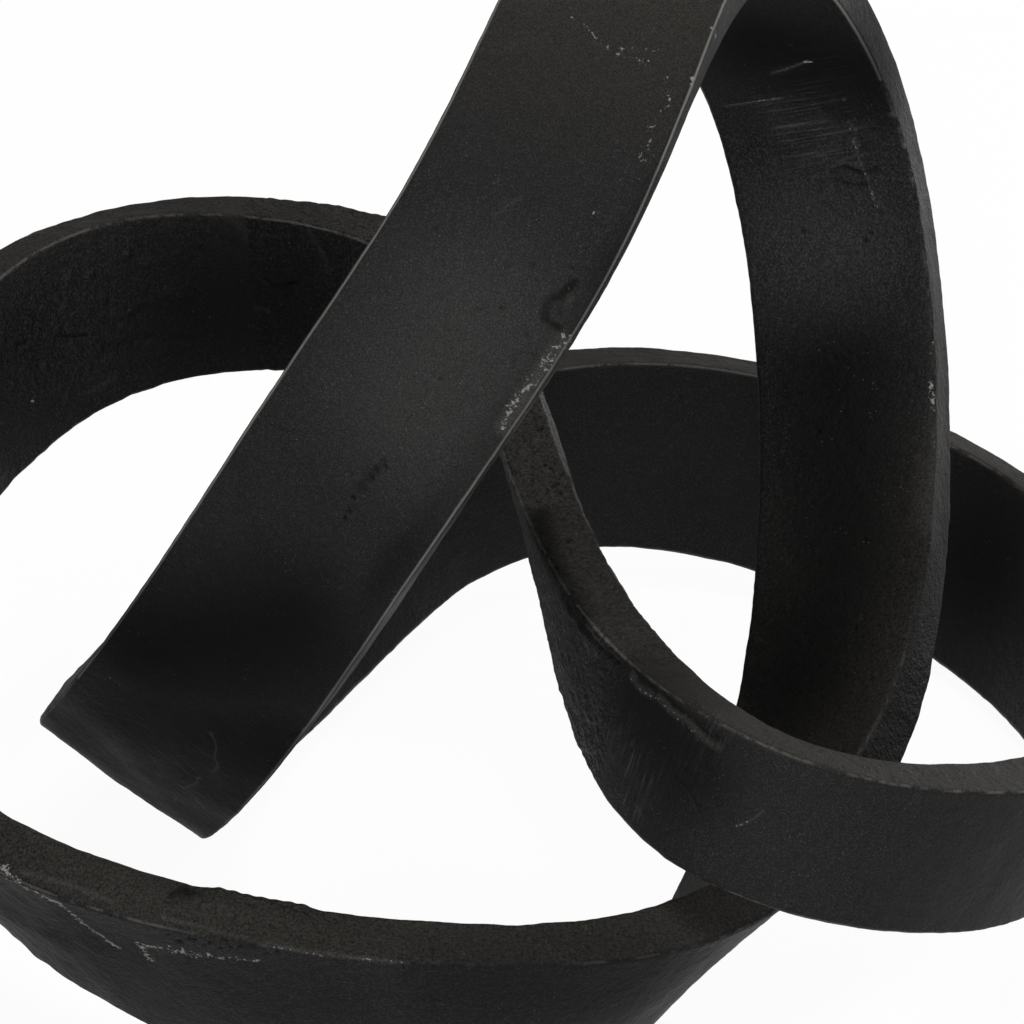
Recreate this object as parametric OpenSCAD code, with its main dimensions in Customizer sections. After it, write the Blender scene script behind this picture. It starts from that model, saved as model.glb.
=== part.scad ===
// Metal knot sculpture: a cast flat bar bent into three loops and joined end to end.
// The bar is poured in six lengths. Each joint is a V groove on both faces, filled
// with weld metal and ground almost flush, so each joint is a piece of its own.
// Axes: X to the right, Y away from the viewer, Z up. The origin lies on the table,
// under the middle of the bounding box.

/* [Overall] */
// Width across the left loop and the right ring
knot_w = 225; // [200:1:260]
// Depth from the front run to the back run
knot_d = 216; // [200:1:255]
// Height of the arch above the table
knot_h = 171; // [155:1:205]

/* [Bar] */
// Thickness of the bar
bar_t = 9.2; // [7:0.1:11]
// Rounding of the four long corners of the bar
corner_r = 0.8; // [0.5:0.1:2.5]
// Height of the slight crown on both broad faces
face_crown = 0.3; // [0:0.1:0.6]
// Bar width along the leaning strap
strap_w = 34.5; // [30:0.5:40]
// Bar width round the heel
heel_w = 34; // [30:0.5:40]
// Bar width along the back run
back_w = 36; // [30:0.5:40]
// Bar width at the end of the right ring
ring_w = 32.5; // [27:0.5:37]
// Bar width along the front run
front_w = 25; // [22:0.5:30]
// Bar width where the crossover passes behind the strap
cross_w = 24; // [21:0.5:29]
// Bar width round the left loop
left_w = 32.5; // [27:0.5:37]
// Bar width at the diagonal fold
fold_w = 30.5; // [26:0.5:35]
// Bar width over the arch
arch_w = 30.5; // [26:0.5:35]

/* [Joints] */
// Width of a weld on the broad faces
weld_w = 7; // [4:0.5:10]
// Width of a weld at its root, half way through the bar
root_w = 2; // [1:0.5:3]
// How far the ground weld still stands proud of the bar
weld_proud = 0.2; // [0:0.05:0.4]

/* [Resting places] */
// Depth filed off where the bar touches the table
file_d = 1.7; // [0.5:0.1:2]

/* [Hidden] */
ring_step = 9;          // cross-sections between two guide places
// The guide places below are written for a knot 225 wide, 216 deep and 171 high.
stretch = [knot_w / 225, knot_d / 216, knot_h / 171];

// Guide places along the bar, in the order of travel. A smooth closed curve is drawn
// near them. Each row: place, direction across the bar's width, bar width.
// After one full round the width direction comes back reversed: the knot is one-sided.
guide = [
    [[108,   -1,  17], [ 4,  0,  10], ring_w],                  // end of the right ring
    [[ 90,  -56,  26], [ 5,  0,   9], (ring_w + front_w) / 2],  // ring turning to the front
    [[ 62,  -90,  39], [ 3,  1,   9], front_w],                 // front run, lowest stretch
    [[ 30,  -93,  49], [ 4,  1,   9], front_w],                 // front run before the riser
    [[ 12,  -58,  57], [ 0, -2,   9], cross_w],                 // front run turning back
    [[  5,  -10,  68], [-3, -1,   9], cross_w],                 // crossover seen on edge
    [[ -3,   35,  79], [-3, -2,  10], (cross_w + left_w) / 2],  // behind the strap
    [[-39,   62,  77], [ 0,  0,  10], (cross_w + left_w) / 2],  // back of the left loop
    [[-80,   55,  75], [-4,  1,  10], left_w],                  // left loop, back corner
    [[-106,   2,  62], [-1, -3,  10], left_w],                  // end of the left loop
    [[-104, -58,  37], [-5, -5,   8], left_w],                  // left loop, front corner
    [[-63,  -94,  24], [-3, -5,   9], left_w],                  // low front run
    [[ -5, -103,  15], [ 0, -2,   9], fold_w],                  // lowest place of the run
    [[ 30,  -80,  14], [ 4, -5,   7], fold_w],                  // into the diagonal fold
    [[ 52,  -38,  31], [ 8, -4,   4], fold_w],                  // out of the diagonal fold
    [[ 58,   -6,  66], [ 9, -4,   0], fold_w],                  // riser behind the front run
    [[ 55,   18, 105], [10, -2,   2], (fold_w + arch_w) / 2],   // riser, tall part
    [[ 46,   16, 137], [ 9, -3,   2], (fold_w + arch_w) / 2],   // riser under the arch
    [[ 29,   -9, 166], [ 9, -2,   2], arch_w],                  // crown of the arch
    [[ 16,  -45, 167], [ 9, -3,  -3], (arch_w + strap_w) / 2],  // arch into the strap
    [[  4,  -65, 139], [ 9, -2,  -4], strap_w],                 // leaning strap, top
    [[-23,  -66,  98], [ 8, -3,  -5], strap_w],                 // leaning strap, middle
    [[-51,  -54,  46], [ 8, -3,  -5], strap_w],                 // leaning strap, foot
    [[-70,  -13,  13], [ 9, -2,  -5], heel_w],                  // heel on the table
    [[-43,   47,  14], [ 5, -3,  -8], heel_w],                  // from the heel to the back
    [[ -8,  102,  30], [ 0,  1, -10], back_w],                  // back run, left corner
    [[ 48,  106,  25], [-1, -2, -10], back_w],                  // back run behind the riser
    [[ 93,   62,  17], [-5, -1,  -9], back_w]                   // back run to the ring end
];
places = len(guide);

// Where the six joints lie, counted in guide places along the bar.
joint_front = 3.5;        // front run, left of the riser
joint_left_back = 7.2;    // back of the left loop
joint_left_front = 11.1;  // low front run
joint_arch = 16.7;        // riser, just under the arch
joint_heel = 22.3;        // strap, just above the heel
joint_ring = 27.4;        // back right of the ring

// Smooth closed curve: every point is a blend of the four nearest guide places.
function blend(u) = [pow(1 - u, 3), 3 * pow(u, 3) - 6 * u * u + 4,
                     -3 * pow(u, 3) + 3 * u * u + 3 * u + 1, pow(u, 3)] / 6;
function heading(u) = [-pow(1 - u, 2), 3 * u * u - 4 * u, -3 * u * u + 2 * u + 1, u * u] / 2;
function wrap(k) = (k + 2 * places) % places;
function side(k) = floor(k / places) % 2 == 0 ? 1 : -1;
function mul(a, b) = [a[0] * b[0], a[1] * b[1], a[2] * b[2]];
function unit(v) = v / norm(v);
function at_place(k) = mul(guide[wrap(k)][0], stretch);
function across(k) = side(k) * unit(guide[wrap(k)][1]);
function wide(k) = guide[wrap(k)][2];
function middle(t) = let(i = floor(t), b = blend(t - i))
    b[0] * at_place(i - 1) + b[1] * at_place(i) + b[2] * at_place(i + 1) + b[3] * at_place(i + 2);
function travel(t) = let(i = floor(t), b = heading(t - i))
    b[0] * at_place(i - 1) + b[1] * at_place(i) + b[2] * at_place(i + 1) + b[3] * at_place(i + 2);
function width_dir(t) = let(i = floor(t), b = blend(t - i))
    b[0] * across(i - 1) + b[1] * across(i) + b[2] * across(i + 1) + b[3] * across(i + 2);
function width_at(t) = let(i = floor(t), b = blend(t - i))
    b[0] * wide(i - 1) + b[1] * wide(i) + b[2] * wide(i + 1) + b[3] * wide(i + 2);

// Outline of the bar, walked once round. Each entry: [across, through, arc across,
// arc through]: a corner's own signs, then the direction of its rounding there.
corner_turn = [0, 45, 90];
outline = concat(
    [for (a = corner_turn) [1, 1, cos(a), sin(a)]], [[0, 1, 0, 0]],
    [for (a = corner_turn) [-1, 1, sin(a), cos(a)]], [[-1, 0, 0, 0]],
    [for (a = corner_turn) [-1, -1, cos(a), sin(a)]], [[0, -1, 0, 0]],
    [for (a = corner_turn) [1, -1, sin(a), cos(a)]], [[1, 0, 0, 0]]
);
sides = len(outline);
function out_across(o, w) = o[0] * (w / 2 - (o[1] == 0 ? 0 : corner_r * (1 - o[2])));
function out_through(o) = o[0] == 0 ? o[1] * (bar_t / 2 + face_crown)
                        : o[1] * (bar_t / 2 - corner_r * (1 - o[3]));

// A point of the bar's skin at travel t, outline corner j, lifted off the skin by h.
function skin(t, j, h = 0) = let(
        o = outline[j], go = unit(travel(t)), raw = width_dir(t),
        a = unit(raw - (raw * go) * go), n = cross(a, go),
        w = out_across(o, width_at(t)), d = out_through(o))
    middle(t) + a * (w + sign(w) * h * (o[1] == 0 || o[2] > 0.5 ? 1 : 0))
              + n * (d + sign(d) * h * (o[0] == 0 || o[3] > 0.5 ? 1 : 0));

// The whole bar once round, to find the table height and the middle of the box.
survey = [for (i = [0 : places * 4 - 1], j = [0 : sides - 1]) skin(i / 4, j)];
table_z = min([for (p = survey) p[2]]) + file_d;
home = [-(min([for (p = survey) p[0]]) + max([for (p = survey) p[0]])) / 2,
        -(min([for (p = survey) p[1]]) + max([for (p = survey) p[1]])) / 2, -table_z];
// Skin point in its final place, filed flat where it would go below the table.
function placed(t, j, h = 0) = let(p = skin(t, j, h) + home) [p[0], p[1], max(p[2], 0)];

// Half the groove's opening at outline corner j, turned into travel: wide on the
// broad faces, narrow at the root half way through the bar.
function groove(t, j) = let(deep = min(1, abs(out_through(outline[j])) / (bar_t / 2)))
    (root_w + (weld_w - root_w) * deep) / 2 / norm(travel(t));

// Skin triangles between ring r and ring r + 1.
function skin_faces(r) = [for (j = [0 : sides - 1]) let(
        a = r * sides + j, b = r * sides + (j + 1) % sides) each
    [[a, b, a + sides], [b, b + sides, a + sides]]];
// End cap: two flat halves that meet along the root line between the bar's edges.
edge_a = 15;
edge_b = 7;
function cap(r, turned) = let(s = r * sides,
        top = [for (j = [0 : edge_b - 1]) s + j], low = [for (j = [edge_b + 1 : edge_a - 1]) s + j])
    [for (q = concat(
        [for (i = [0 : len(top) - 2]) [s + edge_a, top[i + 1], top[i]]],
        [[s + edge_a, s + edge_b, top[len(top) - 1]]],
        [for (i = [0 : len(low) - 2]) [s + edge_b, low[i + 1], low[i]]],
        [[s + edge_b, s + edge_a, low[len(low) - 1]]]))
        turned ? [q[0], q[2], q[1]] : q];

// One poured length of bar from joint a to joint b, its ends bevelled for the welds.
module poured(a, b) {
    n = round((b - a) * ring_step);
    pts = [for (i = [0 : n], j = [0 : sides - 1]) let(
            t0 = a + groove(a, j), t1 = b - groove(b, j))
        placed(t0 + (t1 - t0) * i / n, j)];
    polyhedron(points = pts, convexity = 8,
        faces = concat([for (r = [0 : n - 1]) each skin_faces(r)], cap(0, false), cap(n, true)));
}

// One weld: fills the double groove at joint a and stands a little proud.
module weld(a) {
    n = 4;
    pts = [for (i = [0 : n], j = [0 : sides - 1]) let(
            g = groove(a, j), f = 2 * i / n - 1)
        placed(a + g * f, j, weld_proud * (1 - f * f))];
    polyhedron(points = pts, convexity = 4,
        faces = concat([for (r = [0 : n - 1]) each skin_faces(r)], cap(0, false), cap(n, true)));
}

module front_run() { color([0.17, 0.17, 0.18]) poured(joint_ring, places + joint_front); }
module crossover() { color([0.20, 0.19, 0.18]) poured(joint_front, joint_left_back); }
module left_loop() { color([0.15, 0.15, 0.16]) poured(joint_left_back, joint_left_front); }
module fold_riser() { color([0.18, 0.18, 0.19]) poured(joint_left_front, joint_arch); }
module arch_strap() { color([0.21, 0.21, 0.22]) poured(joint_arch, joint_heel); }
module heel_run() { color([0.16, 0.16, 0.17]) poured(joint_heel, joint_ring); }
module weld_front() { color([0.30, 0.30, 0.31]) weld(joint_front); }
module weld_left_back() { color([0.30, 0.30, 0.31]) weld(joint_left_back); }
module weld_left_front() { color([0.30, 0.30, 0.31]) weld(joint_left_front); }
module weld_arch() { color([0.30, 0.30, 0.31]) weld(joint_arch); }
module weld_heel() { color([0.30, 0.30, 0.31]) weld(joint_heel); }
module weld_ring() { color([0.30, 0.30, 0.31]) weld(joint_ring); }

front_run();
crossover();
left_loop();
fold_riser();
arch_strap();
heel_run();
weld_front();
weld_left_back();
weld_left_front();
weld_arch();
weld_heel();
weld_ring();
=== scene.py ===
"""Looks of the metal knot sculpture: cast skin, ground welds, black finish, studio and camera."""
import math

import bpy
import numpy as np
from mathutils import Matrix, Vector
from mathutils.kdtree import KDTree


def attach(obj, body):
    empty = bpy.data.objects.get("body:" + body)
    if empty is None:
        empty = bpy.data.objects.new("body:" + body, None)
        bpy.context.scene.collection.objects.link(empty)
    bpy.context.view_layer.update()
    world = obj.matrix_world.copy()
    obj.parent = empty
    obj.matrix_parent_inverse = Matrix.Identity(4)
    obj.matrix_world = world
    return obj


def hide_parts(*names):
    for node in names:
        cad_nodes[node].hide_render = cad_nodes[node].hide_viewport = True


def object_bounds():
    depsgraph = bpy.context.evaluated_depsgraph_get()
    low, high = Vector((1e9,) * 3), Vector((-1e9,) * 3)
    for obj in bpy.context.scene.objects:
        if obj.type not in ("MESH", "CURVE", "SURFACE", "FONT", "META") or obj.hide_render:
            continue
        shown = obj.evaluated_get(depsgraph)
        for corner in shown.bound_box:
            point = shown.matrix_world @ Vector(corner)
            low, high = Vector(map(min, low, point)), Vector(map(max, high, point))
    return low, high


MM = 0.001
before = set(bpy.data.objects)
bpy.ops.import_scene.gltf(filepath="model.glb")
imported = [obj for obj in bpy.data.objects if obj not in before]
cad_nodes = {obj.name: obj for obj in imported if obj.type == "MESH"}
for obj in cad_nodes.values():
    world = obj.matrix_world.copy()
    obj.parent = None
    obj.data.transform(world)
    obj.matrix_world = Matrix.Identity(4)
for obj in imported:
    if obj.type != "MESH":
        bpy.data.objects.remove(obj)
cad_low, cad_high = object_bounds()

POURED = ["front_run", "crossover", "left_loop", "fold_riser", "arch_strap", "heel_run"]
WELDS = ["weld_front", "weld_left_back", "weld_left_front", "weld_arch", "weld_heel", "weld_ring"]

# The bar's outline, counted round from the middle of one broad face
CORNERS = 16
SHARP = (2, 6, 10, 14)
ROUNDING = range(1, CORNERS, 2)
BROAD_HALVES = ((0, 1), (7, 8), (8, 9), (15, 0))

# Cage, in millimetres: corners this near are one, corners this near lie on a joint, a longer step
# between two corners crosses half a broad face, and a joint's brushed strokes reach this far
SAME_PLACE = 0.001
SAME_JOINT = 0.02
BROAD_STEP = 8
GROUND_REACH = 16

# How strong those strokes are, how firm the corner rounding is, and how fine the cage gets
GROUND_SHARE = 0.1
ROUNDING_CREASE = 0.5
BROAD_CUTS = 2
SMOOTHING = 3

# Skin, in millimetres: how far from a joint the grain and the waves are at their full height, how
# far the skin swells and a weld is pressed back, and how low a place is when it is filed flat
GRAIN_FULL = 1.5
WAVES_FULL = 8
SWELL = 0.06
PRESSED_BACK = 0.15
FILED_BELOW = 0.06

# Tone of a texture that leaves the skin where it is
EVEN_TONE = 0.5
NICKS_TONE = 0.6

# Bends flatter than this are shaded smooth
SMOOTH_BELOW = math.radians(40)

# Weights of a vertex: too little to write down, and as good as full
LEAST_WEIGHT = 0.001
FULL_WEIGHT = 0.999

# How uneven each poured length is: hand waves, cast lumps, sand grain, nicks in its corners
SKINS = {
    "front_run": (0.3, 0.25, 0.12, 0.15),
    "crossover": (0.3, 0.45, 0.4, 0.35),
    "left_loop": (0.35, 0.65, 0.14, 0.2),
    "fold_riser": (0.4, 0.3, 0.2, 0.15),
    "arch_strap": (0.35, 0.18, 0.08, 0.12),
    "heel_run": (0.45, 0.3, 0.14, 0.2),
}
WELD_SKIN = (0.35, 0.2, 0.1, 0.12)


# Hand tools

def take(piece):
    """Leaves only this piece selected, and active."""
    if bpy.context.mode != "OBJECT":
        bpy.ops.object.mode_set(mode="OBJECT")
    bpy.ops.object.select_all(action="DESELECT")
    piece.select_set(True)
    bpy.context.view_layer.objects.active = piece


def edit(piece, mode, chosen):
    """Opens the piece in edit mode with just the chosen vertices, edges or faces selected."""
    take(piece)
    bpy.ops.object.mode_set(mode="EDIT")
    bpy.ops.mesh.select_mode(type=mode)
    bpy.ops.mesh.select_all(action="DESELECT")
    bpy.ops.object.mode_set(mode="OBJECT")
    layer = {"VERT": piece.data.vertices, "EDGE": piece.data.edges, "FACE": piece.data.polygons}[mode]
    flags = np.zeros(len(layer), bool)
    flags[list(chosen)] = True
    layer.foreach_set("select", flags)
    bpy.ops.object.mode_set(mode="EDIT")


def done():
    """Goes back to object mode."""
    bpy.ops.object.mode_set(mode="OBJECT")


def places_of(piece):
    """Where every corner of the piece lies, in metres."""
    co = np.empty(len(piece.data.vertices) * 3, np.float32)
    piece.data.vertices.foreach_get("co", co)
    return co.reshape(-1, 3)


def modifier(piece, kind, **settings):
    """Adds a modifier, sets it and applies it."""
    take(piece)
    bpy.ops.object.modifier_add(type=kind)
    m = piece.modifiers[-1]
    for name, value in settings.items():
        setattr(m, name, value)
    bpy.ops.object.modifier_apply(modifier=m.name)


def weigh(piece, name, weights):
    """Writes a vertex group from one weight for each vertex."""
    group = piece.vertex_groups.get(name) or piece.vertex_groups.new(name=name)
    for i in np.nonzero(weights > LEAST_WEIGHT)[0]:
        group.add([int(i)], float(weights[i]), "REPLACE")


def search_tree(places):
    """Finds the nearest of these places."""
    tree = KDTree(len(places))
    for i, place in enumerate(places):
        tree.insert(place, i)
    tree.balance()
    return tree


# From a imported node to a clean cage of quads

every_corner = {n: places_of(o) for n, o in cad_nodes.items()}


def first_row(me, rim):
    """The 16 corners of one cut end, in order, first the middle of a broad face."""
    # the end that stands higher is never filed, so its row shows the bar's true outline
    start = max(rim, key=lambda v: me.vertices[v].co.z)
    row, last = [start], None
    while len(row) < CORNERS:
        row.append(next(v for v in rim[row[-1]] if v != last and v not in row[1:]))
        last = row[-2]
    gap = [(me.vertices[row[j]].co - me.vertices[row[j - 1]].co).length for j in range(CORNERS)]
    step = BROAD_STEP * MM
    first = next(j for j in range(CORNERS) if gap[j] > step and gap[(j + 1) % CORNERS] > step)
    return row[first:] + row[:first]


def rings_of(piece, neighbours):
    """Walks the bar from one cut end to the other; gives its rows of corners and the cut faces."""
    me = piece.data
    shared = {v.index for v in me.vertices if neighbours.find(v.co)[2] < SAME_JOINT * MM}
    caps = {p.index for p in me.polygons if all(v in shared for v in p.vertices)}
    owners, near = {}, {}
    for p in me.polygons:
        for a, b in p.edge_keys:
            owners.setdefault((a, b), []).append(p.index in caps)
            near.setdefault(a, set()).add(b)
            near.setdefault(b, set()).add(a)
    rim = {}
    for (a, b), sides in owners.items():
        if sum(sides) == 1:
            rim.setdefault(a, []).append(b)
            rim.setdefault(b, []).append(a)
    row = first_row(me, rim)
    rows, used = [row], set(row)
    while True:
        below = []
        for j in range(CORNERS):
            both = (near[row[j]] & near[row[(j + 1) % CORNERS]]) - used
            below.append(next(iter(both), None))
        if None in below:
            break
        if len(rows) == 1:
            far = lambda k: sum((me.vertices[row[(j + k) % CORNERS]].co - me.vertices[below[j]].co).length
                                for j in range(CORNERS))
            turn = 0 if far(0) < far(1) else 1
        row = below[-turn:] + below[:-turn] if turn else below
        rows.append(row)
        used |= set(row)
    return rows, caps


def lay_along_bar(piece, rows):
    """Maps how far along and how far round each corner lies; gives how far along each row is."""
    co = places_of(piece)
    row_of = {v: (r, j) for r, row in enumerate(rows) for j, v in enumerate(row)}
    centre = co[np.array(rows)].mean(1)
    along = np.concatenate([[0], np.cumsum(np.linalg.norm(np.diff(centre, axis=0), axis=1))])
    outline = co[rows[0]]
    sides = np.linalg.norm(np.roll(outline, -1, 0) - outline, axis=1)
    round_it = np.concatenate([[0], np.cumsum(sides)])
    uv = piece.data.uv_layers.new(name="along_bar")
    for p in piece.data.polygons:
        wraps = {row_of[v][1] for v in p.vertices} >= {0, CORNERS - 1}
        for k, v in zip(p.loop_indices, p.vertices):
            r, j = row_of[v]
            uv.data[k].uv = (along[r], round_it[CORNERS if wraps and j == 0 else j])
    return along


def mark_cage(piece, node, rows, along):
    """Marks the sharp corners, the ground stretches, the rims of the joints and a weld's belly."""
    corner, ground, held, proud = (np.zeros(len(piece.data.vertices)) for _ in range(4))
    for r, row in enumerate(rows):
        corner[[row[j] for j in SHARP]] = 1
        away = min(along[r], along[-1] - along[r]) / MM
        ground[row] = max(0, 1 - away / GROUND_REACH)
        proud[row] = 1 - (2 * r / (len(rows) - 1) - 1) ** 2
    held[rows[0]] = held[rows[-1]] = 1
    for name, amounts in (("corner", corner), ("ground", ground * GROUND_SHARE), ("near_joint", held)):
        mark = piece.data.attributes.new(name, "FLOAT", "POINT")
        mark.data.foreach_set("value", amounts.astype(np.float32))
    weigh(piece, "corner", corner)
    if node in WELDS:
        weigh(piece, "proud", proud)


def edge_finder(piece):
    """Gives the edge between two corners, or None."""
    keys = {tuple(sorted(e.vertices)): e.index for e in piece.data.edges}
    return lambda a, b: keys.get((min(a, b), max(a, b)))


def cage(node):
    """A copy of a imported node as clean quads, with its joints marked and its broad faces cut finer."""
    take(cad_nodes[node])
    bpy.ops.object.duplicate()
    piece = bpy.context.active_object
    piece.name = piece.data.name = node + "_cast"
    piece.parent = None
    for key in [k for k in piece.keys() if k.startswith("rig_")]:
        del piece[key]
    edit(piece, "VERT", range(len(piece.data.vertices)))
    bpy.ops.mesh.remove_doubles(threshold=SAME_PLACE * MM)
    done()
    neighbours = search_tree(np.concatenate([c for n, c in every_corner.items() if n != node]))
    rows, caps = rings_of(piece, neighbours)
    along = lay_along_bar(piece, rows)
    mark_cage(piece, node, rows, along)

    # cut ends: creased and sharp, so that both sides of a joint keep the same rim
    edit(piece, "FACE", caps)
    bpy.ops.mesh.region_to_loop()
    bpy.ops.transform.edge_crease(value=1)
    bpy.ops.mesh.mark_sharp()
    done()

    # the diagonals go, so that only quads are left
    edge = edge_finder(piece)
    slants = set()
    for above, below in zip(rows, rows[1:]):
        for j in range(CORNERS):
            k = (j + 1) % CORNERS
            slants |= {edge(above[j], below[k]), edge(above[k], below[j])}
    edit(piece, "EDGE", slants - {None})
    bpy.ops.mesh.dissolve_edges(use_verts=False)
    done()

    # the lines of the corner rounding stay firm, and the broad faces get more rows
    edge = edge_finder(piece)
    edit(piece, "EDGE", [edge(above[j], below[j]) for above, below in zip(rows, rows[1:]) for j in ROUNDING])
    bpy.ops.transform.edge_crease(value=ROUNDING_CREASE)
    done()
    broad = [edge(row[a], row[b]) for row in rows for a, b in BROAD_HALVES]
    edit(piece, "EDGE", [e for e in broad if e is not None])
    bpy.ops.mesh.subdivide(number_cuts=BROAD_CUTS)
    done()
    return piece


# Skin

def noise(name, size, depth=1):
    """A cloud texture with forms of this size in millimetres."""
    t = bpy.data.textures.new(name, "CLOUDS")
    t.noise_scale = size * MM
    t.noise_depth = depth
    return t


WAVES = noise("hand_waves", 17)
LUMPS = noise("cast_lumps", 5.5)
GRAIN = noise("sand_grain", 1.7)
NICKS = noise("corner_nicks", 7, 3)


def hold_joints(piece):
    """Holds the rim of each joint still: fine grain grows close to it, long waves further off."""
    near = np.zeros(len(piece.data.vertices), np.float32)
    piece.data.attributes["near_joint"].data.foreach_get("value", near)
    co = places_of(piece)
    rims = search_tree(co[near > FULL_WEIGHT])
    away = np.array([rims.find(c)[2] for c in co]) / MM
    weigh(piece, "held", np.clip(1 - away / GRAIN_FULL, 0, 1))
    weigh(piece, "calm", np.clip(1 - away / WAVES_FULL, 0, 1))


def skin(piece, waves, lumps, grain, nicks):
    """Uneven hand-made skin: every amount in millimetres, all read from the same place in space."""
    modifier(piece, "DISPLACE", strength=SWELL * MM, mid_level=0, vertex_group="calm",
             invert_vertex_group=True)
    for texture, amount, rim in ((WAVES, waves, "calm"), (LUMPS, lumps, "calm"), (GRAIN, grain, "held")):
        modifier(piece, "DISPLACE", texture=texture, texture_coords="GLOBAL", strength=amount * MM,
                 mid_level=EVEN_TONE, vertex_group=rim, invert_vertex_group=True)
    modifier(piece, "DISPLACE", texture=NICKS, texture_coords="GLOBAL", strength=nicks * MM,
             mid_level=NICKS_TONE, vertex_group="corner")


def stand_flat(piece):
    """Files the resting places flat again, and keeps the piece inside the drawn size."""
    co = places_of(piece)
    low = np.nonzero(co[:, 2] < FILED_BELOW * MM)[0]
    if len(low):
        edit(piece, "VERT", low)
        bpy.ops.transform.resize(value=(1, 1, 0), center_override=(0, 0, 0))
        done()
    co = np.clip(places_of(piece), np.array(cad_low), np.array(cad_high))
    piece.data.vertices.foreach_set("co", co.astype(np.float32).ravel())
    piece.data.update()


# Sculpting

# Faces are cut finer within a share of a mark's half width, and a little further, in millimetres
MARK_CUTS = 2
FINE_SHARE, FINE_MARGIN = 0.7, 0.2

# A mark's depth wanders along two slanting waves and keeps a least share of itself; its tint is
# full along the middle and falls to nothing at the half width
WAVE_ONE, WAVE_TWO = (1.9, 1.3, 0.4), (-0.7, 1.1, 2.3)
LEAST_DEPTH = 0.45
TINT_FALL = 1.15

# What each kind of mark brings of its own
# grooves and pits darken their hollows with painted shade
GROOVE_SHADE, PIT_SHADE = 1.5, 0.9
PIT_SIZES = (0.8, 1.2, 1.0, 0.65)
CHIP_DEPTH, SCRATCH_DEPTH = 0.05, 0.04

# Least squared length of a step in a path, so that a path of one place works too
NO_LENGTH = 1e-9


def off_line(places, path):
    """Distance in millimetres from each place to a path, which may be a single place."""
    nearest = np.full(len(places), np.inf)
    for a, b in zip(path, path[1:] or path):
        a = np.array(a, float)
        run = np.array(b, float) - a
        share = np.clip((places - a) @ run / max(run @ run, NO_LENGTH), 0, 1)
        nearest = np.minimum(nearest, np.linalg.norm(places - a - share[:, None] * run, axis=1))
    return nearest


def rounded(path):
    """Cuts the corners of a path twice, so that it runs as a hand would draw it."""
    path = [np.array(p, float) for p in path]
    for _ in range(2 if len(path) > 2 else 0):
        inner = [a + (b - a) * t for a, b in zip(path, path[1:]) for t in (0.25, 0.75)]
        path = [path[0]] + inner[1:-1] + [path[-1]]
    return path


def paint(piece, name, amounts):
    """Keeps the larger of what the piece's point mark holds already and these amounts."""
    layer = piece.data.attributes.get(name) or piece.data.attributes.new(name, "FLOAT", "POINT")
    before = np.zeros(len(piece.data.vertices), np.float32)
    layer.data.foreach_get("value", before)
    layer.data.foreach_set("value", np.maximum(before, amounts).astype(np.float32))


def dome(away, wide):
    """1 on the line, falling smoothly to 0 at the half width."""
    return np.clip(1 - (away / wide) ** 2, 0, 1) ** 2


def cut_finer(piece, laid):
    """Cuts the faces under the marks finer."""
    middles = np.empty(len(piece.data.polygons) * 3, np.float32)
    piece.data.polygons.foreach_get("center", middles)
    middles = middles.reshape(-1, 3) / MM
    close = np.zeros(len(middles), bool)
    for path, wide, _, _ in laid:
        close |= off_line(middles, path) < FINE_SHARE * wide + FINE_MARGIN
    edit(piece, "FACE", np.nonzero(close)[0])
    bpy.ops.mesh.subdivide(number_cuts=MARK_CUTS)
    done()


def sculpt(piece, marks):
    """Lays each mark's path onto the skin, cuts the faces there finer, and presses or raises it."""
    co = places_of(piece) / MM
    laid = []
    for path, wide, deep, tints in marks:
        on_skin = [co[np.linalg.norm(co - np.array(p), axis=1).argmin()] for p in path]
        laid.append((rounded(on_skin), wide, deep, tints))
    cut_finer(piece, laid)
    co = places_of(piece) / MM
    wander = 0.5 + 0.5 * np.sin(co @ WAVE_ONE) * np.sin(co @ WAVE_TWO)
    lift = np.zeros(len(co))
    for path, wide, deep, tints in laid:
        away = off_line(co, path)
        lift -= deep * (LEAST_DEPTH + (1 - LEAST_DEPTH) * wander) * dome(away, wide)
        for name, much in tints.items():
            paint(piece, name, much * np.clip(TINT_FALL - TINT_FALL * away / wide, 0, 1))
    rim = piece.vertex_groups["held"].index
    for i in np.nonzero(lift)[0]:
        groups = piece.data.vertices[int(i)].groups
        lift[i] *= 1 - max([g.weight for g in groups if g.group == rim], default=0)
    for name, amounts, way in (("pressed", -lift, -1), ("raised", lift, 1)):
        weigh(piece, name, np.clip(amounts, 0, None))
        modifier(piece, "DISPLACE", strength=way * MM, mid_level=0, vertex_group=name)


# Kinds of mark: path, half width, depth and what it does to the coat

def groove(path, wide, deep):
    """A pressed line, with painted shade along its bottom."""
    return [(path, wide, deep, {"painted_shade": min(1.0, GROOVE_SHADE * deep)})]


def bead(path, wide, high, paler=0.0):
    """A raised line, rubbed on its top."""
    return [(path, wide, -high, {"wear_and_sheen": paler})]


def pits(places, wide, deep):
    """Small holes of four sizes in turn, with painted shade in them."""
    holes = []
    for i, place in enumerate(places):
        width, depth = PIT_SIZES[i % 4], PIT_SIZES[(i + 1) % 4]
        holes.append(([place], wide * width, deep * depth, {"painted_shade": PIT_SHADE}))
    return holes


def lumps(places, wide, high, paler=0.0):
    """Small knobs of four sizes in turn."""
    return [(path, width, -height, {"wear_and_sheen": paler}) for path, width, height, _ in pits(places, wide, high)]


def chips(path, wide, bare):
    """Coat flaked off in crumbs along a path."""
    return [(path, wide, CHIP_DEPTH, {"bare": bare})]


def scratch(path, wide, bare):
    """A fine bare line."""
    return [(path, wide, SCRATCH_DEPTH, {"bare": bare})]


def lightened(path, wide, wear_and_sheen):
    """Coat made lighter along a path, with no depth: worn lines, and painted highlight beside a dent."""
    return [(path, wide, 0.0, {"wear_and_sheen": wear_and_sheen})]


# Marks on each piece, in millimetres where they lie on the knot

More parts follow.
